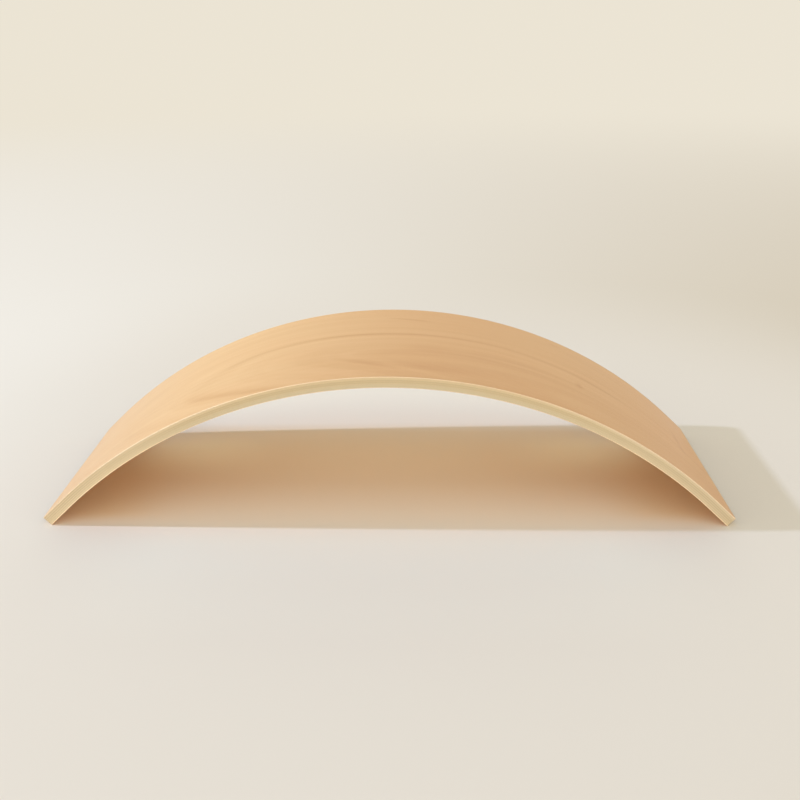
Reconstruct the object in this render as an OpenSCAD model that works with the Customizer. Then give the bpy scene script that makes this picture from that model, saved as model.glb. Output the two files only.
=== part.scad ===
// Rocker arch: a child's balance board, a strip of laminated wood bent to an arc.
// It stands as an arch on its two ends. X runs along the board, Y across it and Z is up.
// The origin is on the floor, under the middle of the board.

/* [Arch] */
// Radius of the concave inner face
inner_radius = 569; // [450:1:700]
// Angle from the crown to where each end turns straight
arc_half_angle = 43.75; // [35:0.25:50]
// Length of the straight run at each end
straight_end = 31.5; // [20:0.5:60]
// Width of the board, front to back
board_width = 305; // [250:1:400]

/* [Plies] */
// Thickness of each of the two face veneers
veneer_thickness = 1.25; // [0.6:0.05:1.6]
// Thickness of each of the nine core plies
core_thickness = 1.25; // [1:0.05:2]

/* [Edges] */
// Rounding of every arris, across the plies
arris_radius = 0.9; // [0.5:0.1:2.4]
// Rounding of the four corners, seen square to the board
corner_radius = 2.5; // [2.5:0.5:18]

/* [Hidden] */
$fn = 96;
core_plies = 9;
board_thickness = 2 * veneer_thickness + core_plies * core_thickness;

// Height of the arc's centre line below the floor: the lowest point of each end is on the
// rounded inner arris, where the rounding turns to face straight down.
inner_corner_drop = inner_radius * cos(arc_half_angle) - straight_end * sin(arc_half_angle);
arris_lift = arris_radius * (sin(arc_half_angle) + cos(arc_half_angle) - 1);
centre_depth = inner_corner_drop + arris_lift;

// Colours of the finished wood
beech = [0.86, 0.70, 0.51];
birch_side_grain = [0.87, 0.76, 0.57];
birch_end_grain = [0.80, 0.69, 0.50];

// Height above the inner face of the underside of a core ply. Core plies count from 1, outermost first.
function core_base(place) = board_thickness - veneer_thickness - place * core_thickness;

// Cross-section of the board from its middle out to an edge at x = reach, both arrises rounded.
module board_edge(reach) {
    square([reach - arris_radius, board_thickness]);
    translate([0, arris_radius])
        square([reach, board_thickness - 2 * arris_radius]);
    for (y = [arris_radius, board_thickness - arris_radius])
        translate([reach - arris_radius, y])
            circle(arris_radius);
}

// The part of that section that one ply takes, from height base to height top.
module ply_edge(reach, base, top) {
    intersection() {
        board_edge(reach);
        translate([0, base])
            square([reach, top - base]);
    }
}

// The ply's whole cross-section, edge to edge.
module ply_section(base, top) {
    for (side = [0, 1])
        mirror([side, 0])
            ply_edge(board_width / 2, base, top);
}

// The bent part of a ply, with its axis on Y through the arc's centre.
module ply_arc(base, top) {
    rotate([90, arc_half_angle - 90, 0])
        rotate_extrude(angle = 2 * arc_half_angle)
            translate([inner_radius, 0])
                rotate(-90)
                    mirror([1, 0])
                        ply_section(base, top);
}

// One straight end of a ply. x runs out along the board from where the arc ends, z out of the board.
module ply_end(base, top) {
    run = straight_end - corner_radius;
    rotate([90, 0, 90])
        linear_extrude(run)
            ply_section(base, top);
    translate([run, board_width / 2 - corner_radius, 0])
        rotate([90, 0, 0])
            linear_extrude(board_width - 2 * corner_radius)
                ply_edge(corner_radius, base, top);
    for (side = [0, 1])
        mirror([0, side, 0])
            translate([run, board_width / 2 - corner_radius, 0])
                rotate_extrude(angle = 90)
                    ply_edge(corner_radius, base, top);
}

// A whole ply between two heights above the inner face, standing on the floor.
module ply(base, top) {
    translate([0, 0, -centre_depth]) {
        ply_arc(base, top);
        for (side = [0, 1])
            mirror([side, 0, 0])
                rotate([0, arc_half_angle, 0])
                    translate([0, 0, inner_radius])
                        ply_end(base, top);
    }
}

module outer_face_veneer() {
    color(beech)
        ply(board_thickness - veneer_thickness, board_thickness);
}

module inner_face_veneer() {
    color(beech)
        ply(0, veneer_thickness);
}

// Grain runs across the board, so the long edges show end grain.
module cross_ply(number) {
    place = 2 * number - 1;
    color(birch_end_grain)
        ply(core_base(place), core_base(place) + core_thickness);
}

// Grain runs along the board, so the long edges show side grain.
module long_ply(number) {
    place = 2 * number;
    color(birch_side_grain)
        ply(core_base(place), core_base(place) + core_thickness);
}

outer_face_veneer();
cross_ply(1);  // cross_ply_1
long_ply(1);  // long_ply_1
cross_ply(2);  // cross_ply_2
long_ply(2);  // long_ply_2
cross_ply(3);  // cross_ply_3
long_ply(3);  // long_ply_3
cross_ply(4);  // cross_ply_4
long_ply(4);  // long_ply_4
cross_ply(5);  // cross_ply_5
inner_face_veneer();
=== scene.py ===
import math

import bpy
import numpy as np
from mathutils import Matrix, Vector


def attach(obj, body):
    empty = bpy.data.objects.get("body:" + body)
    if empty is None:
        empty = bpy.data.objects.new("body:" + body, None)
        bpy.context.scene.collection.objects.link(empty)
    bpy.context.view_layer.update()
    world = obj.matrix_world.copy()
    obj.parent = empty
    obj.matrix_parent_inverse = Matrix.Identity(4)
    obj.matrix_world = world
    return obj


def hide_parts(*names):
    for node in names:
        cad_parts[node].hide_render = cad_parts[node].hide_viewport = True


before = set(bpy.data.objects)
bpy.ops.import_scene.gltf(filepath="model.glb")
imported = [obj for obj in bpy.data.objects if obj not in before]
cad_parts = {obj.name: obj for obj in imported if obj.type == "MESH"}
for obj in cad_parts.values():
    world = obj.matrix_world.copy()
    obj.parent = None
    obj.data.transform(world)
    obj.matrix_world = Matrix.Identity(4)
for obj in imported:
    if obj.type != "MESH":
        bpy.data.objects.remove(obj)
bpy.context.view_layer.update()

print("rocker arch: frame loaded")

# The board as it was glued: a flat strip, in metres along it on the outer face, across it,
# and up from the inner face. Bending the strip gives the arch.
board = {
    "innerRadius": 0.569,  # of the concave face
    "halfAngle": math.radians(43.75),  # from the crown to where each end turns straight
    "straightEnd": 0.0315,
    "width": 0.305,
    "arris": 0.0009,  # rounding across the plies
    "corner": 0.0025,  # rounding of the four corners, seen square to the board
    "faceVeneer": 0.00125,
    "corePly": 0.00125,
    "coreCount": 9,
    "edgeBevel": 0.00006,  # sanding leaves each ply's edge a hair proud of the glue
    "arcSteps": 200,
    "straightSteps": 3,
    "acrossSteps": 8,
    "cornerSteps": 4,
    "edgeSteps": 10,
    "sharpAngle": math.radians(30),  # faces that meet at more than this keep a hard line
    "tiny": 1e-6,  # less than any real gap
}
thickness = 2 * board["faceVeneer"] + board["coreCount"] * board["corePly"]
halfArc = (board["innerRadius"] + thickness) * board["halfAngle"]
halfLength = halfArc + board["straightEnd"]
arrisLift = board["arris"] * (math.sin(board["halfAngle"]) + math.cos(board["halfAngle"]) - 1)
centreDepth = (
    board["innerRadius"] * math.cos(board["halfAngle"])
    - board["straightEnd"] * math.sin(board["halfAngle"])
    + arrisLift
)  # how far the arc's centre lies under the floor
millimetres = 1000.0  # in a metre: the wood's patterns are worked out in mm


def bendBoard(along, across, height):
    # An arc of innerRadius + height up to the half angle, then the arc's own tangent to the end
    onArc = np.clip(along, -halfArc, halfArc)
    angle = onArc / halfArc * board["halfAngle"]
    radius = board["innerRadius"] + height
    x = radius * np.sin(angle) + (along - onArc) * np.cos(angle)
    z = radius * np.cos(angle) - (along - onArc) * np.sin(angle) - centreDepth
    return np.stack([x, across + 0 * x, z], axis=-1)


def stations(halfFlat, cuts):
    # Places along one side of the strip: the flat run's cuts, and at each end steps of -1 to 1
    # that say how far a place lies into the rounded corner
    steps = np.arange(1, board["cornerSteps"] + 1) / board["cornerSteps"]
    place = np.concatenate([-halfFlat + 0 * steps, cuts, halfFlat + 0 * steps])
    intoCorner = np.concatenate([-steps[::-1], 0 * cuts, steps])
    return place, intoCorner


def planGrid(alongStations, acrossStations, inset):
    # A rounded rectangle as a grid: each corner block is a square wrapped onto a quarter disc,
    # with the larger coordinate as the distance out and their ratio as the angle
    placeU, cornerU = alongStations
    placeV, cornerV = acrossStations
    a = np.abs(cornerU)
    b = np.abs(cornerV)
    reach = np.maximum(a, b)
    turn = np.minimum(a, b) / np.maximum(reach, board["tiny"]) * math.pi / 4
    outU = reach * np.where(a >= b, np.cos(turn), np.sin(turn)) * np.sign(cornerU)
    outV = reach * np.where(a >= b, np.sin(turn), np.cos(turn)) * np.sign(cornerV)
    radius = board["corner"] - inset
    return placeU + radius * outU, placeV + radius * outV, outU, outV


def arrisRise(height):
    # How far a height reaches past the flat of the edge, into the rounding at the nearer face
    return np.clip(board["arris"] - np.minimum(height, thickness - height), 0, board["arris"])


def edgeLevels(base, top):
    # Heights down a ply's edge from top to base, closer together at a face, with one more by
    # each glue line; and how far the edge stands in at each: a quarter circle at the faces,
    # and the small bevel by the glue
    t = np.linspace(0, 1, board["edgeSteps"] + 1)
    bevel = board["edgeBevel"]
    gluedTop = top < thickness - board["tiny"]
    gluedBase = base > board["tiny"]
    if not gluedTop:
        t = t**2
    if not gluedBase:
        t = 1 - (1 - t) ** 2
    height = top - (top - base) * t
    if gluedTop:
        height = np.insert(height, 1, top - bevel)
    if gluedBase:
        height = np.insert(height, -1, base + bevel)
    rise = arrisRise(height)
    inset = board["arris"] - np.sqrt(board["arris"] ** 2 - rise**2)
    if gluedTop:
        inset += np.clip(bevel - (top - height), 0, bevel)
    if gluedBase:
        inset += np.clip(bevel - (height - base), 0, bevel)
    return height, inset


def levelPoints(placesU, placesV, height, inset):
    # One level of a ply: its points on the flat strip, and how far the surface at each faces
    # along and across the board, which is less where an arris turns towards a face
    u, v, outU, outV = planGrid(placesU, placesV, inset)
    outward = math.sqrt(1 - (arrisRise(height) / board["arris"]) ** 2)
    points = np.stack([u, v, np.full(u.shape, height)], -1)
    return points, np.stack([np.abs(outU), np.abs(outV), 0 * outU], -1) * outward


def plyMesh(name, base, top):
    # A ply is two caps, each a grid over the rounded strip, joined by a rim of rings that
    # follow the edge's levels. Every point is placed on the flat strip and then bent.
    flatU = halfLength - board["corner"]
    flatV = board["width"] / 2 - board["corner"]
    ends = np.linspace(halfArc, flatU, board["straightSteps"] + 1)[1:]
    arc = np.linspace(-halfArc, halfArc, board["arcSteps"] + 1)
    placesU = stations(flatU, np.concatenate([-ends[::-1], arc, ends]))
    placesV = stations(flatV, np.linspace(-flatV, flatV, board["acrossSteps"] + 1))
    nu = len(placesU[0]) - 1
    nv = len(placesV[0]) - 1
    height, inset = edgeLevels(base, top)
    gridU = [s[:, None] for s in placesU]
    gridV = [s[None, :] for s in placesV]

    countU = np.arange(nu)
    countV = np.arange(nv)
    roundU = np.concatenate([countU, np.full(nv, nu), nu - countU, np.zeros(nv, int)])
    roundV = np.concatenate([np.zeros(nu, int), countV, np.full(nu, nv), nv - countV])
    ringU = [s[roundU] for s in placesU]
    ringV = [s[roundV] for s in placesV]
    onRim = np.zeros((nu + 1, nv + 1, 1))
    onRim[roundU, roundV] = 1

    flat = []
    facing = []
    for level in (0, -1):  # the two caps, which face outwards only along their rim
        points, outward = levelPoints(gridU, gridV, height[level], inset[level])
        flat.append(points.reshape(-1, 3))
        facing.append((outward * onRim).reshape(-1, 3))
    for level in range(1, len(height) - 1):  # the rings between them
        points, outward = levelPoints(ringU, ringV, height[level], inset[level])
        flat.append(points)
        facing.append(outward)
    flat = np.concatenate(flat)
    facing = np.concatenate(facing)

    perCap = (nu + 1) * (nv + 1)
    index = np.arange(perCap).reshape(nu + 1, nv + 1)
    rim = index[roundU, roundV]
    between = 2 * perCap + np.arange((len(height) - 2) * len(rim)).reshape(-1, len(rim))
    rings = np.vstack([rim, between, rim + perCap])
    cap = np.stack([index[:-1, :-1], index[1:, :-1], index[1:, 1:], index[:-1, 1:]], -1)
    nextRings = np.roll(rings, -1, axis=1)
    wall = np.stack([rings[1:], nextRings[1:], nextRings[:-1], rings[:-1]], -1)
    faces = np.concatenate([
        cap.reshape(-1, 4),
        cap[..., ::-1].reshape(-1, 4) + perCap,
        wall.reshape(-1, 4),
    ])

    mesh = bpy.data.meshes.new(name)
    mesh.from_pydata(bendBoard(*flat.T).tolist(), [], faces.tolist())
    for label, values in (("boardPoint", flat), ("edgeFacing", facing)):
        layer = mesh.attributes.new(label, "FLOAT_VECTOR", "POINT")
        layer.data.foreach_set("vector", values.ravel())
    mesh.polygons.foreach_set("use_smooth", np.ones(len(faces), bool))
    mesh.set_sharp_from_angle(angle=board["sharpAngle"])
    mesh.update()
    piece = bpy.data.objects.new(name, mesh)
    bpy.context.scene.collection.objects.link(piece)
    return piece


# Small helpers for material nodes

def addNode(tree, kind, sockets, **settings):
    node = tree.nodes.new(kind)
    for setting, value in settings.items():
        setattr(node, setting, value)
    for socket, value in sockets.items():
        if isinstance(value, bpy.types.NodeSocket):
            tree.links.new(value, node.inputs[socket])
        else:
            node.inputs[socket].default_value = value
    return node


def calc(tree, operation, *values):
    return addNode(tree, "ShaderNodeMath", dict(enumerate(values)), operation=operation).outputs[0]


def total(tree, *values):
    result = values[0]
    for value in values[1:]:
        result = calc(tree, "ADD", result, value)
    return result


def product(tree, *values):
    result = values[0]
    for value in values[1:]:
        result = calc(tree, "MULTIPLY", result, value)
    return result


def centred(tree, value, amount):
    # From 0..1 to -amount..amount
    return calc(tree, "MULTIPLY", calc(tree, "SUBTRACT", value, 0.5), 2 * amount)


def rampBetween(tree, value, low, high, toLow=0.0, toHigh=1.0, interpolation="SMOOTHSTEP"):
    # An S curve, or a straight line, from toLow at low to toHigh at high
    sockets = {"Value": value, "From Min": low, "From Max": high, "To Min": toLow, "To Max": toHigh}
    return addNode(tree, "ShaderNodeMapRange", sockets, interpolation_type=interpolation).outputs[0]


def bandBetween(tree, value, rise, fall):
    # 1 between two spans, with an S curve up over the first and down over the second
    return product(tree, rampBetween(tree, value, *rise), rampBetween(tree, value, *fall, 1.0, 0.0))


def mixColour(tree, factor, first, second, blend="MIX"):
    # A colour is a socket or three plain numbers
    colours = [c if isinstance(c, bpy.types.NodeSocket) else (*c, 1) for c in (first, second)]
    sockets = {0: factor, 6: colours[0], 7: colours[1]}
    return addNode(tree, "ShaderNodeMix", sockets, data_type="RGBA", blend_type=blend).outputs[2]


def tinted(tree, share, colour, tint):
    # The colour times the tint, as far as share says
    return mixColour(tree, share, colour, tint, "MULTIPLY")


def scaled(tree, vector, scale):
    sockets = {0: vector, "Scale": scale}
    return addNode(tree, "ShaderNodeVectorMath", sockets, operation="SCALE").outputs[0]


def grainNoise(tree, point, size, offset, detail=1.0, roughness=0.5):
    # Noise whose blots are as long, wide and deep as size says, in millimetres
    scale = [1 / s for s in size]
    place = addNode(tree, "ShaderNodeMapping", {"Vector": point, "Location": offset, "Scale": scale})
    sockets = {"Vector": place.outputs[0], "Scale": 1.0, "Detail": detail, "Roughness": roughness}
    return addNode(tree, "ShaderNodeTexNoise", sockets).outputs[0]


def colourRamp(tree, value, stops, interpolation="LINEAR"):
    node = addNode(tree, "ShaderNodeValToRGB", {"Fac": value})
    node.color_ramp.interpolation = interpolation
    elements = node.color_ramp.elements
    while len(elements) < len(stops):
        elements.new(1.0)
    for element, (position, colour) in zip(elements, stops):
        element.position = position
        element.color = (*colour, 1)
    return node.outputs[0]


# What all the wood of the board shares
finish = {
    "specular": 0.20,  # of the clear matt lacquer
    "glueSolid": 0.35,  # share of a glue line's width that is fully dark, before it fades
}


def startWood(name):
    # A material with the strip's own millimetre coordinates and its edge facing
    material = bpy.data.materials.new(name)
    material.use_nodes = True
    tree = material.node_tree
    place = addNode(tree, "ShaderNodeAttribute", {}, attribute_name="boardPoint").outputs["Vector"]
    point = scaled(tree, place, millimetres)
    axes = addNode(tree, "ShaderNodeSeparateXYZ", {0: point}).outputs
    edge = addNode(tree, "ShaderNodeAttribute", {}, attribute_name="edgeFacing").outputs["Vector"]
    edgeAxes = addNode(tree, "ShaderNodeSeparateXYZ", {0: edge}).outputs
    return material, tree, point, axes, edgeAxes


def glueShade(tree, height, base, top, width):
    # 1 on the glue line at a ply's glued sides, 0 away from it, heights in millimetres
    tiny = board["tiny"] * millimetres
    solid = finish["glueSolid"] * width
    shades = []
    if base > tiny:
        above = calc(tree, "SUBTRACT", height, base)
        shades.append(rampBetween(tree, above, solid, width, 1.0, 0.0))
    if top < thickness * millimetres - tiny:
        below = calc(tree, "SUBTRACT", top, height)
        shades.append(rampBetween(tree, below, solid, width, 1.0, 0.0))
    return shades[0] if len(shades) == 1 else calc(tree, "MAXIMUM", *shades)


def finishWood(tree, colour, roughness, bumps):
    # Clear matt lacquer: an even satin surface that follows the grain's small bumps
    shader = tree.nodes["Principled BSDF"]
    tree.links.new(colour, shader.inputs["Base Color"])
    tree.links.new(roughness, shader.inputs["Roughness"])
    shader.inputs["Specular IOR Level"].default_value = finish["specular"]
    normal = None
    for height, distance in bumps:
        sockets = {"Height": height, "Distance": distance, "Strength": 1.0}
        if normal is not None:
            sockets["Normal"] = normal
        normal = addNode(tree, "ShaderNodeBump", sockets).outputs[0]
    tree.links.new(normal, shader.inputs["Normal"])


# The board's long edges and ends: paler towards the two ends and along their lower side,
# partly the plies' own colour and partly painted light.
# Places are in mm: along from the middle of the board, and up from the inner face.
edgeTintsAndLight = {
    "upperTint": (1.0, 1.015, 1.04),
    "lowerTint": (1.0, 1.08, 1.20),
    "lowerFrom": (8.0, 2.0),
    "endsTint": (1.02, 1.06, 1.145),
    "endsAlong": (200.0, 330.0),
    "lowerAtEnds": 0.10,  # how much paler still the lowest plies are near the two ends
    "lowerAtEndsFrom": (5.0, 1.5),
    "topByEnds": (1.02, 1.055, 1.13),  # the outermost plies away from the crown
    "topAlong": (150.0, 230.0),
    "topFrom": (11.0, 12.4),
    "topLeft": (-400.0, -350.0),  # but not at the left end
    "leftEnd": (-0.07, 0.11),  # at the left end the outer plies are darker and the others paler
    "leftAlong": (-400.0, -220.0),
    "leftFrom": (13.0, 8.0),
}


# Tints an edge by place: partly the plies' own colour, partly painted light
def tintEdgeAndLight(tree, colour, along, height):
    look = edgeTintsAndLight
    fromMiddle = calc(tree, "ABSOLUTE", along)
    atEnds = rampBetween(tree, fromMiddle, *look["endsAlong"])
    isLow = rampBetween(tree, height, *look["lowerFrom"])
    tint = mixColour(tree, isLow, look["upperTint"], look["lowerTint"])
    tint = mixColour(tree, atEnds, tint, look["endsTint"])
    onTop = product(
        tree,
        rampBetween(tree, height, *look["topFrom"]),
        rampBetween(tree, fromMiddle, *look["topAlong"]),
        rampBetween(tree, along, *look["topLeft"]),
    )
    tint = tinted(tree, onTop, tint, look["topByEnds"])
    lowAtEnds = product(
        tree,
        atEnds,
        rampBetween(tree, height, *look["lowerAtEndsFrom"], 0.0, look["lowerAtEnds"]),
    )
    onLeft = product(
        tree,
        rampBetween(tree, along, *look["leftAlong"], 1.0, 0.0),
        rampBetween(tree, height, *look["leftFrom"], *look["leftEnd"]),
    )
    level = total(tree, lowAtEnds, onLeft, 1.0)
    return tinted(tree, 1.0, colour, scaled(tree, tint, level))


# The face veneers: plain-sliced beech, its rings cut into a long arched figure. Figure places
# are in mm on the flat strip; a line is its weights along and across the board and an offset.
# Sizes are of noise, in mm along, across and through the sheet, and the number under the same
# name is how strongly it shows.
faceVeneer = {
    "dark": (0.455, 0.180, 0.054),
    "mid": (0.615, 0.328, 0.148),  # where nothing makes the wood paler or darker
    "light": (0.737, 0.444, 0.238),
    "edge": (0.690, 0.530, 0.352),  # side grain, paler than the face
    "edgeFrom": (0.05, 0.45),  # how far the surface faces outwards where it starts to show
    "edgeShare": 0.9,
    "innerTint": (1.12, 1.03, 0.90),
    "innerEdge": (1.10, 1.16, 1.20),  # the inner veneer's edge is paler near the two ends
    "innerEdgeAlong": (240.0, 330.0),
    "innerTurn": 60.0,  # the inner figure runs back from this place along the board
    "innerMove": 38.0,  # and is moved this far across it
    "wanderSize": (190, 60, 40),
    "wander": 4.0,  # mm that the figure's lines wander to each side
    "rippleSize": (60, 9, 9),
    "ripple": 1.6,
    "crest": 27.5,  # how far across the figure's upper line runs
    "sagStart": 88.0,  # where along the board the upper line starts to fall
    "sag": 4.2e-4,  # mm that it falls for each square mm of the distance past there
    "tipLine": (0.344, -0.276, 75.5),
    "lowerLine": (0.273, 0.519, 116.5),
    "round": 53.0,  # rounding where those lines meet
    "figureStart": -120.0,  # mm inside the main line at which the rings' shades start and stop
    "figureStop": 150.0,
    "rings": (  # mm inside the main line, and how pale (1) or dark (-1) the wood is there
        (-95, -0.1), (-86, 0.1), (-72, 0.0), (-60, -0.15), (-50, 0.1), (-38, 0.0),
        (-30, -0.2), (-23, 0.1), (-15, 0.4), (-7.5, 0.0), (0, -1.0), (7.5, 0.0), (13, 0.4),
        (20, 0.15), (26, 0.1), (34, 0.3), (40, 0.1), (46, -0.3), (56, -0.2), (62, 0.1),
        (70, -0.3), (86, -0.15), (102, -0.2), (120, 0.1), (135, -0.1),
    ),
    "ringStrength": 0.20,
    "patchSize": (220, 24, 20),
    "patchFrom": (0.30, 0.65),
    "patchWeight": (0.55, 1.15),  # the rings' weight in the faintest and the strongest patches
    "fineRing": 0.02,
    "fineRingStep": 7.5,  # mm from one fine ring to the next
    "tipAlong": (-225.0, -190.0),  # the rings are fainter round the figure's left tip
    "tipBelow": (-92.0, -62.0),
    "tipAbove": (-5.0, 15.0),
    "tipStrength": 0.25,
    "rightFade": (290.0, 350.0),  # and near the board's right end
    "rightStrength": 0.45,
    "streakSize": (260, 11, 12),
    "streak": 0.13,
    "fibreSize": (28, 0.55, 0.55),
    "fibre": 0.08,
    "fibreDepth": 0.00012,  # metres, as is the flecks' depth
    "fleckSize": (2.6, 0.34, 0.5),
    "fleckFrom": (0.62, 0.72),
    "fleck": 0.10,
    "fleckDepth": 0.00025,
    "rosySize": (150, 50, 50),
    "rosyFrom": (0.35, 0.65),
    "rosyShare": 0.35,
    "rosyTint": (1.0, 0.95, 0.91),
    "driftSpan": (-420.0, 200.0),  # places along the board between which the face turns from paler on the lamp's side to browner in the shade: partly the wood's own colour, partly painted light and sheen
    "litLeftTint": (1.17, 1.38, 1.53),
    "shadedRightTint": (0.905, 0.875, 0.865),
    "endSpan": (270.0, 440.0),  # and paler again towards the right end
    "endTint": (1.02, 1.03, 0.95),
    "border": 0.08,  # how much darker the face is along its two long edges
    "borderFrom": (145.0, 151.0),
    "borderAlong": (-150.0, 60.0),
    "arris": (0.97, 0.83, 0.62),  # paler wood at the rounding, with a painted highlight
    "arrisFrom": (0.05, 0.3),  # how far the surface faces outwards where that starts
    "arrisUntil": (0.6, 0.95),
    # the painted highlight is strongest on the left, towards the lamp
    "arrisAlong": (-220.0, 20.0),
    "arrisHighlightShare": (0.75, 0.35),
    "arrisTip": (-440.0, -330.0),  # and less so again at the left end
    "arrisTipShare": 0.4,
    "markFade": (0.15, 1.15),  # shares of a mark's half size between which it fades
    "marks": (  # small dark marks: centre, half length, half width, slope, strength
        (25, 101, 38, 5, -0.14, 0.20),
        (253, -25, 7, 13, 0.0, 0.20),
        (238, 127, 14, 7, 0.0, 0.14),
        (423, 5, 7, 62, 0.0, 0.15),
        (-27, -93, 44, 12, -0.48, 0.18),
        (66, -108, 70, 24, -0.10, 0.07),
        (49, -27, 34, 20, 0.0, 0.06),
    ),
    "glue": (0.40, 0.27, 0.15),
    "glueWidth": 0.10,
    "glueFrom": (0.2, 0.4),  # how far the surface faces outwards where it starts to show
    "glueShare": 0.7,
    "roughness": 0.32,
    "roughFibre": 0.6,  # how much rougher the pale fibres are
}


def weightedLine(tree, along, across, line):
    fromAlong = calc(tree, "MULTIPLY", along, line[0])
    return total(tree, fromAlong, calc(tree, "MULTIPLY", across, line[1]), line[2])


def veneerFigure(tree, along, across):
    # Distance inside the figure's main line, in mm: the smaller of the distances to a long
    # upper line that falls away towards the right end, a blunt left tip and a slanting lower
    # line, the last two shortened so that the rings lie further apart there
    look = faceVeneer
    pastCrest = calc(tree, "MAXIMUM", calc(tree, "SUBTRACT", along, look["sagStart"]), 0.0)
    sag = calc(tree, "MULTIPLY", calc(tree, "MULTIPLY", pastCrest, pastCrest), look["sag"])
    inside = calc(tree, "SUBTRACT", calc(tree, "SUBTRACT", look["crest"], across), sag)
    for line in (look["tipLine"], look["lowerLine"]):
        fromLine = weightedLine(tree, along, across, line)
        inside = calc(tree, "SMOOTH_MIN", inside, fromLine, look["round"])
    return inside


def ringShade(tree, inside):
    # The rings' shades against the distance inside the main line, -1 to 1
    look = faceVeneer
    start, stop = look["figureStart"], look["figureStop"]
    place = rampBetween(tree, inside, start, stop, interpolation="LINEAR")
    stops = [((at - start) / (stop - start), (0.5 + shade / 2,) * 3) for at, shade in look["rings"]]
    shade = colourRamp(tree, place, stops, "EASE")
    return centred(tree, shade, 1.0)


def darkMark(tree, along, across, mark):
    # What a mark adds to the tone: less than 0 in the middle of a sloping oval, 0 outside it
    centreU, centreV, halfLength, halfWidth, slope, strength = mark
    fromU = calc(tree, "SUBTRACT", along, centreU)
    rise = calc(tree, "MULTIPLY", fromU, slope)
    fromV = calc(tree, "SUBTRACT", calc(tree, "SUBTRACT", across, centreV), rise)
    offset = addNode(tree, "ShaderNodeCombineXYZ", {
        0: calc(tree, "DIVIDE", fromU, halfLength),
        1: calc(tree, "DIVIDE", fromV, halfWidth),
    }).outputs[0]
    reach = addNode(tree, "ShaderNodeVectorMath", {0: offset}, operation="LENGTH").outputs["Value"]
    return rampBetween(tree, reach, *faceVeneer["markFade"], -strength, 0.0)


def figurePlace(tree, point, along, across, offset, outward):
    # A point's place in the figure, whose lines wander a little. The inner sheet is cut from the
    # same log, so it has the same figure turned round and moved.
    look = faceVeneer
    wander = centred(tree, grainNoise(tree, point, look["wanderSize"], offset), look["wander"])
    ripple = centred(tree, grainNoise(tree, point, look["rippleSize"], offset), look["ripple"])
    figureU = along if outward else calc(tree, "SUBTRACT", look["innerTurn"], along)
    figureV = total(tree, across, wander, ripple, 0.0 if outward else look["innerMove"])
    return figureU, figureV


def figureTone(tree, figureU, figureV, patchy):
    # The rings' tone with the fine rings between them. The rings are fainter in some patches,
    # round the figure's left tip and near the board's right end.
    look = faceVeneer
    inside = veneerFigure(tree, figureU, figureV)
    atTip = product(
        tree,
        rampBetween(tree, figureU, *look["tipAlong"], 1.0, 0.0),
        bandBetween(tree, figureV, look["tipBelow"], look["tipAbove"]),
    )
    rings = product(
        tree,
        ringShade(tree, inside),
        look["ringStrength"],
        rampBetween(tree, patchy, *look["patchFrom"], *look["patchWeight"]),
        rampBetween(tree, atTip, 0.0, 1.0, 1.0, look["tipStrength"], "LINEAR"),
        rampBetween(tree, figureU, *look["rightFade"], 1.0, look["rightStrength"]),
    )
    waves = calc(tree, "SINE", calc(tree, "MULTIPLY", inside, 2 * math.pi / look["fineRingStep"]))
    return calc(tree, "ADD", rings, product(tree, patchy, look["fineRing"], waves))


def faceTintAndPaintedLight(tree, colour, along, outward):
    # The outer sheet turns browner to the right and a little paler again at its right end: partly the
    # wood's own colour, partly painted light and sheen, paler on the lamp's side
    look = faceVeneer
    tint = look["innerTint"]
    if outward:
        drift = rampBetween(tree, along, *look["driftSpan"])
        tint = mixColour(tree, drift, look["litLeftTint"], look["shadedRightTint"])
        tint = mixColour(tree, rampBetween(tree, along, *look["endSpan"]), tint, look["endTint"])
    return tinted(tree, 1.0, colour, tint)


def veneerEdge(tree, colour, along, height, onEdge, outward):
    # On the rounding and the edge the veneer shows its side grain, and the arris is paler yet, with a
    # painted highlight
    look = faceVeneer
    sideGrain = tintEdgeAndLight(tree, look["edge"], along, height)
    if not outward:
        atEnds = rampBetween(tree, calc(tree, "ABSOLUTE", along), *look["innerEdgeAlong"])
        sideGrain = tinted(tree, atEnds, sideGrain, look["innerEdge"])
    edgeShare = rampBetween(tree, onEdge, *look["edgeFrom"], 0.0, look["edgeShare"])
    colour = mixColour(tree, edgeShare, colour, sideGrain)
    arrisHighlightShare = product(
        tree,
        bandBetween(tree, onEdge, look["arrisFrom"], look["arrisUntil"]),
        rampBetween(tree, along, *look["arrisAlong"], *look["arrisHighlightShare"]),
        rampBetween(tree, along, *look["arrisTip"], look["arrisTipShare"], 1.0),
    )
    return mixColour(tree, arrisHighlightShare, colour, look["arris"])


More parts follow.
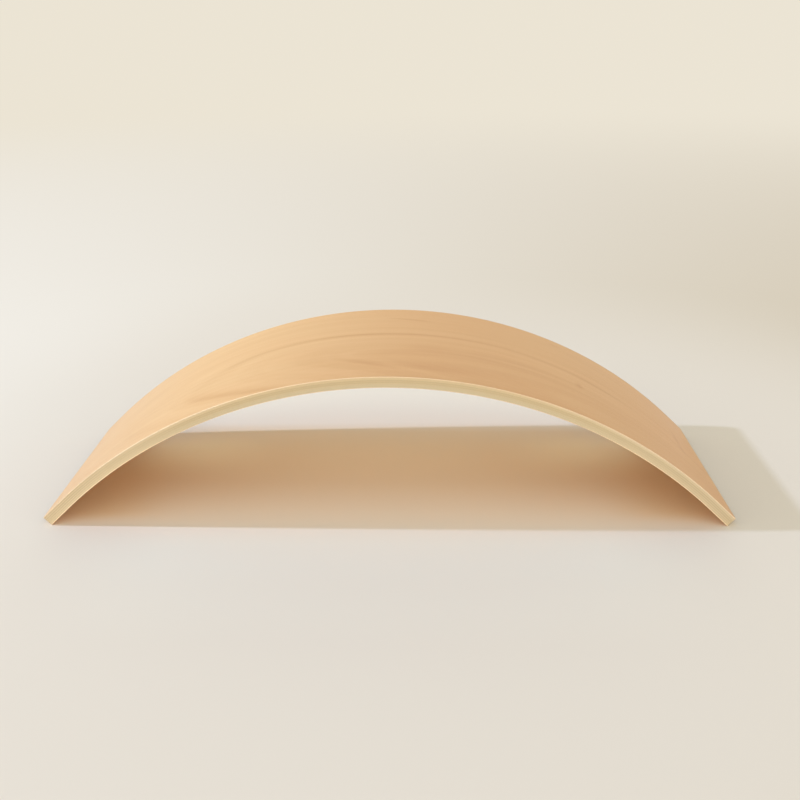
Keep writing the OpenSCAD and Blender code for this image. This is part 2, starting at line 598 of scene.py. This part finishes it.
def veneerMaterial(name, base, top, offset, outward):
    look = faceVeneer
    material, tree, point, axes, edgeAxes = startWood(name)
    along, across, height = axes[0], axes[1], axes[2]
    # each noise is taken from a place of its own, so that none repeats another
    patchPlace = (offset[0] + 31, offset[1], 7.0)
    streakPlace = (offset[0] + 5, offset[1] + 9, 3.0)
    fleckPlace = (offset[0] + 17, 5.0, 1.0)
    rosyPlace = (offset[0] + 3, 2.0, offset[2])

    figureU, figureV = figurePlace(tree, point, along, across, offset, outward)
    patchy = grainNoise(tree, point, look["patchSize"], patchPlace)
    figure = figureTone(tree, figureU, figureV, patchy)
    streakNoise = grainNoise(tree, point, look["streakSize"], streakPlace, detail=3.0, roughness=0.55)
    streaks = centred(tree, streakNoise, look["streak"])
    fibreNoise = grainNoise(tree, point, look["fibreSize"], offset, detail=3.0, roughness=0.6)
    fibres = centred(tree, fibreNoise, look["fibre"])
    fleckNoise = grainNoise(tree, point, look["fleckSize"], fleckPlace)
    flecks = rampBetween(tree, fleckNoise, *look["fleckFrom"])
    flecks = calc(tree, "MULTIPLY", flecks, -look["fleck"])
    marks = [darkMark(tree, figureU, figureV, mark) for mark in look["marks"]]
    border = product(
        tree,
        rampBetween(tree, calc(tree, "ABSOLUTE", across), *look["borderFrom"], 0.0, look["border"]),
        rampBetween(tree, along, *look["borderAlong"]),
    )
    tone = total(tree, 0.5, figure, streaks, fibres, flecks, *marks)
    tone = calc(tree, "SUBTRACT", tone, border)
    colour = colourRamp(tree, tone, ((0.0, look["dark"]), (0.5, look["mid"]), (1.0, look["light"])))

    rosy = grainNoise(tree, point, look["rosySize"], rosyPlace)
    rosyShare = rampBetween(tree, rosy, *look["rosyFrom"], 0.0, look["rosyShare"])
    colour = tinted(tree, rosyShare, colour, look["rosyTint"])
    colour = faceTintAndPaintedLight(tree, colour, along, outward)
    onEdge = calc(tree, "MAXIMUM", edgeAxes[0], edgeAxes[1])
    colour = veneerEdge(tree, colour, along, height, onEdge, outward)
    glue = product(
        tree,
        glueShade(tree, height, base, top, look["glueWidth"]),
        rampBetween(tree, onEdge, *look["glueFrom"]),
        look["glueShare"],
    )
    colour = mixColour(tree, glue, colour, look["glue"])
    roughness = total(tree, look["roughness"], calc(tree, "MULTIPLY", fibres, look["roughFibre"]))
    bumps = ((fibres, look["fibreDepth"]), (flecks, look["fleckDepth"]))
    finishWood(tree, colour, roughness, bumps)
    return material


# The core plies: pale birch, sanded at the edge
corePly = {
    "pale": (0.690, 0.543, 0.364),
    "shaded": (0.444, 0.355, 0.226),
    "endGrain": 0.94,  # how dark end grain is against side grain in the middle of the board
    "endGrainByEnds": 0.84,  # and near its two ends
    "paleByEnds": 0.12,  # how much paler side grain is there
    "endsFrom": (330.0, 450.0),  # mm from the middle of the board
    "streakSize": (45, 1.1, 0.32),  # mm along the ply's grain, across it and through the ply
    "streak": 0.14,
    "streakDepth": 0.00005,  # metres, as is the pores' depth
    "poreSize": (9, 0.22, 0.16),
    "pore": 0.13,
    "poreDepth": 0.00008,
    "patchSize": (130, 90, 30),
    "patch": 0.06,
    "glue": (0.40, 0.29, 0.16),
    "glueWidth": 0.15,
    "glueShare": 0.75,
    "roughness": 0.62,
    "roughEndGrain": 0.08,  # how much rougher end grain is
    "roughPore": 0.2,
}


def turnedSize(size, grainAlong):
    # A size along and across the grain as one along and across the board
    return size if grainAlong else (size[1], size[0], size[2])


def coreMaterial(name, base, top, offset, grainAlong, tone):
    # Fibres run along or across the board. Where the edge cuts them they show as pores.
    look = corePly
    material, tree, point, axes, edgeAxes = startWood(name)
    along, height = axes[0], axes[2]
    cutAcross = edgeAxes[0] if grainAlong else edgeAxes[1]
    streakSize = turnedSize(look["streakSize"], grainAlong)
    streakNoise = grainNoise(tree, point, streakSize, offset, detail=3.0, roughness=0.6)
    streaks = centred(tree, streakNoise, look["streak"])
    poreSize = turnedSize(look["poreSize"], grainAlong)
    poreNoise = grainNoise(tree, point, poreSize, offset, detail=2.0, roughness=0.6)
    pores = centred(tree, poreNoise, look["pore"])
    patches = centred(tree, grainNoise(tree, point, look["patchSize"], offset), look["patch"])
    level = total(tree, 0.5 + tone, streaks, pores, patches)
    fromMiddle = calc(tree, "ABSOLUTE", along)
    if grainAlong:
        paler = rampBetween(tree, fromMiddle, *look["endsFrom"], 0.0, look["paleByEnds"])
        level = calc(tree, "ADD", level, paler)
    colour = colourRamp(tree, level, ((0.0, look["shaded"]), (1.0, look["pale"])))

    darker = (look["endGrain"] - 1, look["endGrainByEnds"] - 1)
    endGrain = rampBetween(tree, fromMiddle, *look["endsFrom"], *darker)
    colour = scaled(tree, colour, calc(tree, "MULTIPLY_ADD", cutAcross, endGrain, 1.0))
    colour = tintEdgeAndLight(tree, colour, along, height)
    onGlue = glueShade(tree, height, base, top, look["glueWidth"])
    glue = calc(tree, "MULTIPLY", onGlue, look["glueShare"])
    colour = mixColour(tree, glue, colour, look["glue"])
    roughness = total(
        tree,
        look["roughness"],
        calc(tree, "MULTIPLY", cutAcross, look["roughEndGrain"]),
        calc(tree, "MULTIPLY", pores, look["roughPore"]),
    )
    bumps = ((streaks, look["streakDepth"]), (pores, look["poreDepth"]))
    finishWood(tree, colour, roughness, bumps)
    return material


# The lay-up, from the outer face to the inner one: name, slot, grain along the board, tone
layUp = [
    ("outer_face_veneer", "face_veneer", True, 0.0),
    ("cross_ply_1", "cross_grain_ply", False, 0.30),
    ("long_ply_1", "long_grain_ply", True, 0.15),
    ("cross_ply_2", "cross_grain_ply", False, -0.05),
    ("long_ply_2", "long_grain_ply", True, -0.08),
    ("cross_ply_3", "cross_grain_ply", False, -0.05),
    ("long_ply_3", "long_grain_ply", True, -0.02),
    ("cross_ply_4", "cross_grain_ply", False, 0.10),
    ("long_ply_4", "long_grain_ply", True, -0.03),
    ("cross_ply_5", "cross_grain_ply", False, 0.04),
    ("inner_face_veneer", "face_veneer", True, 0.0),
]
plyShift = (13.7, 5.3, 2.9)  # how far the noise is moved from one ply to the next


def layPlies():
    top = thickness
    for number, (node, slot, grainAlong, tone) in enumerate(layUp):
        isFace = slot == "face_veneer"
        isLast = number == len(layUp) - 1
        depth = board["faceVeneer"] if isFace else board["corePly"]
        base = 0.0 if isLast else top - depth
        piece = plyMesh(node + "_wood", base, top)
        offset = tuple(number * step for step in plyShift)
        heights = (base * millimetres, top * millimetres)
        if isFace:
            material = veneerMaterial(node + "_beech", *heights, offset, not isLast)
        else:
            material = coreMaterial(node + "_birch", *heights, offset, grainAlong, tone)
        piece.data.materials.append(material)
        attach(piece, "root")
        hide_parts(node)
        top = base


layPlies()
print("rocker arch: plies laid up")

# The stage: a pale floor, with light and shade painted on it near the board. Further from the
# board the camera sees a backdrop in its place, paler on the left with painted light, that turns
# into one even colour. Places are in metres from the board's middle.
stage = {
    "floor": (0.761, 0.708, 0.631),
    "lightAndShadeNearBoard": (  # painted light and shade near the board, by place across it: paler in front of it and just behind it, where the board's shade would darken it, and warmer in the shade under the arch
        (-0.42, (0.761, 0.708, 0.631)), (-0.30, (0.784, 0.743, 0.663)),
        (-0.20, (0.812, 0.802, 0.725)), (-0.13, (0.819, 0.780, 0.702)),
        (-0.07, (0.780, 0.722, 0.643)), (-0.02, (0.758, 0.685, 0.583)),
        (0.06, (0.805, 0.724, 0.588)), (0.12, (0.836, 0.739, 0.568)),
        (0.165, (0.857, 0.750, 0.563)), (0.20, (0.940, 0.885, 0.775)),
        (0.34, (0.920, 0.865, 0.757)), (0.60, (0.761, 0.708, 0.631)),
    ),
    "nearReach": 1.0,  # that list's places may lie this far out
    "nearSpan": (0.24, 0.40),  # along the board, where that paint ends
    "shadeTint": (0.97, 0.91, 0.80),  # the deep shade by the board's two ends is browner
    "shadeFrom": (0.26, 0.37),  # along the board, towards its ends
    "shadeUntil": (0.40, 0.42),
    "shadeFront": (-0.145, -0.11),  # and across it
    "shadeBack": (0.0, 0.12),
    "shoulderTint": (1.11, 1.23, 1.29),  # the shade is paler at the back, by the arch's shoulders
    "shoulderFrom": (0.14, 0.31),
    "shoulderUntil": (0.32, 0.39),
    "shoulderFront": (-0.02, 0.08),
    "shoulderBack": (0.10, 0.17),
    # painted light: the floor is paler on the far left, towards the lamp
    "litFloorLeft": (0.800, 0.762, 0.695),
    "leftFrom": (-0.8, -0.3),  # along the board, where the floor turns from left
    "frontFrom": (-0.4, 0.0),  # and across it, from its even front
    "roughness": 0.9,
    "specular": 0.1,
    "left": (0.887, 0.855, 0.791),  # the backdrop's colours, painted lighter on the left, towards the lamp
    "right": (0.680, 0.610, 0.490),
    "sideSpan": (-0.75, 0.75),  # sines of the directions between which left turns into right
    "far": (0.835, 0.776, 0.658),
    "backdropFrom": (0.6, 1.3),
    "farFrom": (1.6, 6.0),
    "radius": 60.0,
    "rings": 24,
    "spokes": 64,
    "crowding": 3,  # the power by which the rings crowd towards the middle
}


def floorDisc():
    # A disc: distance out by direction, with the rings crowding towards the middle
    share = np.linspace(0, 1, stage["rings"] + 1)[1:]
    rings = share ** stage["crowding"] * stage["radius"]
    turn = np.linspace(0, 2 * math.pi, stage["spokes"] + 1)[:-1]
    x = np.outer(rings, np.cos(turn))
    y = np.outer(rings, np.sin(turn))
    points = np.stack([x, y, 0 * x], -1).reshape(-1, 3)
    index = np.arange(len(points)).reshape(x.shape)
    nextIndex = np.roll(index, -1, axis=1)
    quads = np.stack([index[:-1], index[1:], nextIndex[1:], nextIndex[:-1]], -1).reshape(-1, 4)
    mesh = bpy.data.meshes.new("floor")
    mesh.from_pydata(points.tolist(), [], quads.tolist() + [index[0].tolist()])
    mesh.update()
    floor = bpy.data.objects.new("floor", mesh)
    bpy.context.scene.collection.objects.link(floor)
    return floor


def floorPaintAndLight(tree, along, across):
    # The floor's paint, with painted light and shade: paler on the far left, by place across near
    # the board, and tinted in the shade
    fromMiddle = calc(tree, "ABSOLUTE", along)
    onLeft = product(
        tree,
        rampBetween(tree, along, *stage["leftFrom"], 1.0, 0.0),
        rampBetween(tree, across, *stage["frontFrom"]),
    )
    paint = mixColour(tree, onLeft, stage["floor"], stage["litFloorLeft"])
    reach = stage["nearReach"]
    places = [(0.5 + place / (2 * reach), colour) for place, colour in stage["lightAndShadeNearBoard"]]
    byPlace = rampBetween(tree, across, -reach, reach, interpolation="LINEAR")
    beside = rampBetween(tree, fromMiddle, *stage["nearSpan"], 1.0, 0.0)
    paint = mixColour(tree, beside, paint, colourRamp(tree, byPlace, places))
    inShade = product(
        tree,
        bandBetween(tree, fromMiddle, stage["shadeFrom"], stage["shadeUntil"]),
        bandBetween(tree, across, stage["shadeFront"], stage["shadeBack"]),
    )
    paint = tinted(tree, inShade, paint, stage["shadeTint"])
    atShoulder = product(
        tree,
        bandBetween(tree, fromMiddle, stage["shoulderFrom"], stage["shoulderUntil"]),
        bandBetween(tree, across, stage["shoulderFront"], stage["shoulderBack"]),
    )
    return tinted(tree, atShoulder, paint, stage["shoulderTint"])


def backdropColour(tree, along, distance):
    side = calc(tree, "DIVIDE", along, distance)
    toRight = rampBetween(tree, side, *stage["sideSpan"], interpolation="LINEAR")
    colour = mixColour(tree, toRight, stage["left"], stage["right"])
    return mixColour(tree, rampBetween(tree, distance, *stage["farFrom"]), colour, stage["far"])


def makeFloor():
    floor = floorDisc()
    material = bpy.data.materials.new("floor_paint")
    material.use_nodes = True
    tree = material.node_tree
    place = addNode(tree, "ShaderNodeTexCoord", {}).outputs["Object"]
    distance = addNode(tree, "ShaderNodeVectorMath", {0: place}, operation="LENGTH").outputs["Value"]
    axes = addNode(tree, "ShaderNodeSeparateXYZ", {0: place}).outputs
    shader = tree.nodes["Principled BSDF"]
    tree.links.new(floorPaintAndLight(tree, axes[0], axes[1]), shader.inputs["Base Color"])
    shader.inputs["Roughness"].default_value = stage["roughness"]
    shader.inputs["Specular IOR Level"].default_value = stage["specular"]
    cameraRay = addNode(tree, "ShaderNodeLightPath", {}).outputs["Is Camera Ray"]
    colour = backdropColour(tree, axes[0], distance)
    backdrop = addNode(tree, "ShaderNodeEmission", {"Color": colour}).outputs[0]
    share = calc(tree, "MULTIPLY", rampBetween(tree, distance, *stage["backdropFrom"]), cameraRay)
    sockets = {0: share, 1: shader.outputs[0], 2: backdrop}
    surface = addNode(tree, "ShaderNodeMixShader", sockets).outputs[0]
    # seen from below the floor lets the camera through, so the underside can be looked at
    behind = addNode(tree, "ShaderNodeNewGeometry", {}).outputs["Backfacing"]
    clear = addNode(tree, "ShaderNodeBsdfTransparent", {}).outputs[0]
    sockets = {0: calc(tree, "MULTIPLY", behind, cameraRay), 1: surface, 2: clear}
    surface = addNode(tree, "ShaderNodeMixShader", sockets).outputs[0]
    tree.links.new(surface, tree.nodes["Material Output"].inputs["Surface"])
    floor.data.materials.append(material)


makeFloor()

# The light: a lamp low on the left, and a warm sky that is brighter in front than behind
light = {
    "lampPlace": (-2.0, -0.08, 1.28),
    "lampRadius": 0.034,
    "lampPower": 15.9,
    "lampColour": (0.82, 0.955, 1.33),
    "skyColour": (0.87, 0.845, 0.756),
    "skyFront": 0.5,  # how much brighter the sky is straight in front than at the sides
    "skyLow": (1.0, 0.85, 0.50),  # how much darker overhead, and brighter low in front and behind
    "skyBase": 0.5,
    "skyOverhead": 1.5,
}


def makeLamp():
    # Its light doesn't fade with distance, like that of a lamp much further away
    data = bpy.data.lights.new("lamp", "POINT")
    data.energy = light["lampPower"]
    data.color = light["lampColour"]
    data.shadow_soft_size = light["lampRadius"]
    data.use_nodes = True
    tree = data.node_tree
    fade = addNode(tree, "ShaderNodeLightFalloff", {"Strength": 1.0})
    tree.links.new(fade.outputs["Constant"], tree.nodes["Emission"].inputs["Strength"])
    lamp = bpy.data.objects.new("lamp", data)
    lamp.location = light["lampPlace"]
    lamp.visible_glossy = False  # no glare on the crown, seen against the light
    bpy.context.scene.collection.objects.link(lamp)


def makeSky():
    world = bpy.data.worlds.new("sky")
    bpy.context.scene.world = world
    world.use_nodes = True
    tree = world.node_tree
    direction = addNode(tree, "ShaderNodeTexCoord", {}).outputs["Generated"]
    axes = addNode(tree, "ShaderNodeSeparateXYZ", {0: direction}).outputs
    front = calc(tree, "MULTIPLY_ADD", axes[1], -light["skyFront"], 1.0)
    # base + depth squared - overhead * height squared: the floor in the open gets as much light
    # as from an even sky, the floor under the arch gets more
    depthSquared = calc(tree, "MULTIPLY", axes[1], axes[1])
    heightSquared = calc(tree, "MULTIPLY", axes[2], axes[2])
    overhead = calc(tree, "MULTIPLY", heightSquared, -light["skyOverhead"])
    low = total(tree, light["skyBase"], depthSquared, overhead)
    sockets = {0: light["skyLow"], 1: low, 2: front}
    level = addNode(tree, "ShaderNodeVectorMath", sockets, operation="MULTIPLY_ADD").outputs[0]
    sockets = {0: light["skyColour"], 1: level}
    colour = addNode(tree, "ShaderNodeVectorMath", sockets, operation="MULTIPLY").outputs[0]
    sky = tree.nodes["Background"]
    tree.links.new(colour, sky.inputs["Color"])
    back = addNode(tree, "ShaderNodeBackground", {"Color": (*stage["far"], 1), "Strength": 1.0})
    cameraRay = addNode(tree, "ShaderNodeLightPath", {}).outputs["Is Camera Ray"]
    sockets = {0: cameraRay, 1: sky.outputs[0], 2: back.outputs[0]}
    mixed = addNode(tree, "ShaderNodeMixShader", sockets)
    tree.links.new(mixed.outputs[0], tree.nodes["World Output"].inputs["Surface"])


makeLamp()
makeSky()

# The camera, where the photograph was taken from: metres and radians
camera = {
    "place": (0.0434, -1.3653, 0.5978),
    "yaw": -0.02191,  # to the left of straight ahead is negative
    "down": 0.34317,
    "roll": -0.00798,
    "lens": 49.17,  # mm
    "frameWidth": 36,  # mm
}


def makeCamera():
    data = bpy.data.cameras.new("camera")
    data.lens = camera["lens"]
    data.sensor_width = camera["frameWidth"]
    yaw, down, roll = camera["yaw"], camera["down"], camera["roll"]
    ahead = Vector((math.sin(yaw) * math.cos(down), math.cos(yaw) * math.cos(down), -math.sin(down)))
    right = Vector((math.cos(yaw), -math.sin(yaw), 0))
    up = right.cross(ahead)
    rolledRight = right * math.cos(roll) + up * math.sin(roll)
    rolledUp = up * math.cos(roll) - right * math.sin(roll)
    turn = Matrix((rolledRight, rolledUp, -ahead)).transposed()
    eye = bpy.data.objects.new("camera", data)
    eye.matrix_world = Matrix.Translation(camera["place"]) @ turn.to_4x4()
    bpy.context.scene.collection.objects.link(eye)
    bpy.context.scene.camera = eye


makeCamera()
bpy.context.scene.view_settings.view_transform = "Standard"
print("rocker arch: stage, light and camera ready")
